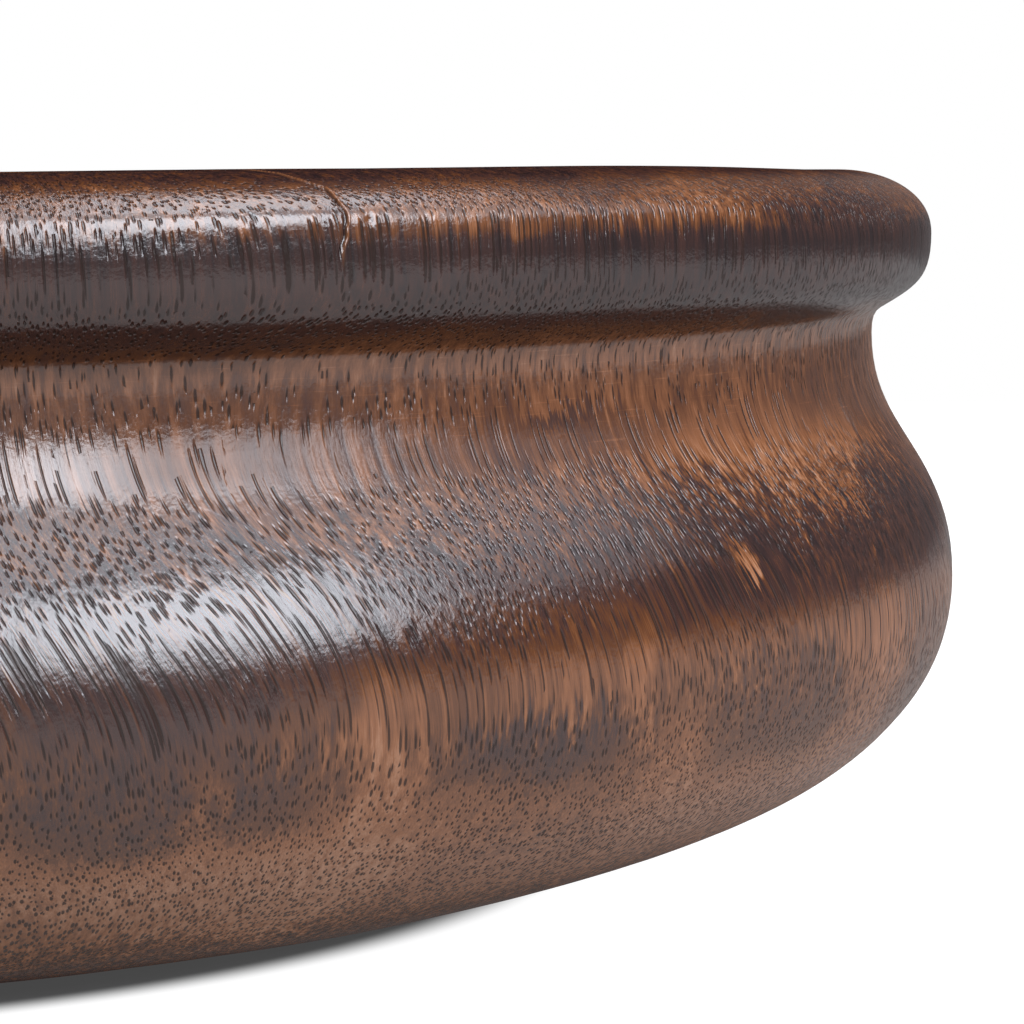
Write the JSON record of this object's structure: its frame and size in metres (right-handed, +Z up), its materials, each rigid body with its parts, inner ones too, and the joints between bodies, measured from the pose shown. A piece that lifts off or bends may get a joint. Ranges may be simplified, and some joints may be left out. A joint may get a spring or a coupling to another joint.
{
  "type": "carved wooden bowl",
  "caption": "Low round bowl carved from one block of dark wood, with a wide round belly, a drawn-in neck, a rolled rim and a flat base to rest on.",
  "frame": {"origin": "centre of the flat resting face, on the bowl's axis", "axes": "+Z up along the bowl's axis, out of its mouth; the bowl is round, so +X and +Y are any two level directions"},
  "size_m": [0.28, 0.28, 0.078],
  "materials": {
    "wood": "semi-gloss clear coat over open-pored dark hardwood with near-black and orange-brown growth bands"
  },
  "bodies": {
    "root": {"bowl": "wood"}
  },
  "joints": []
}
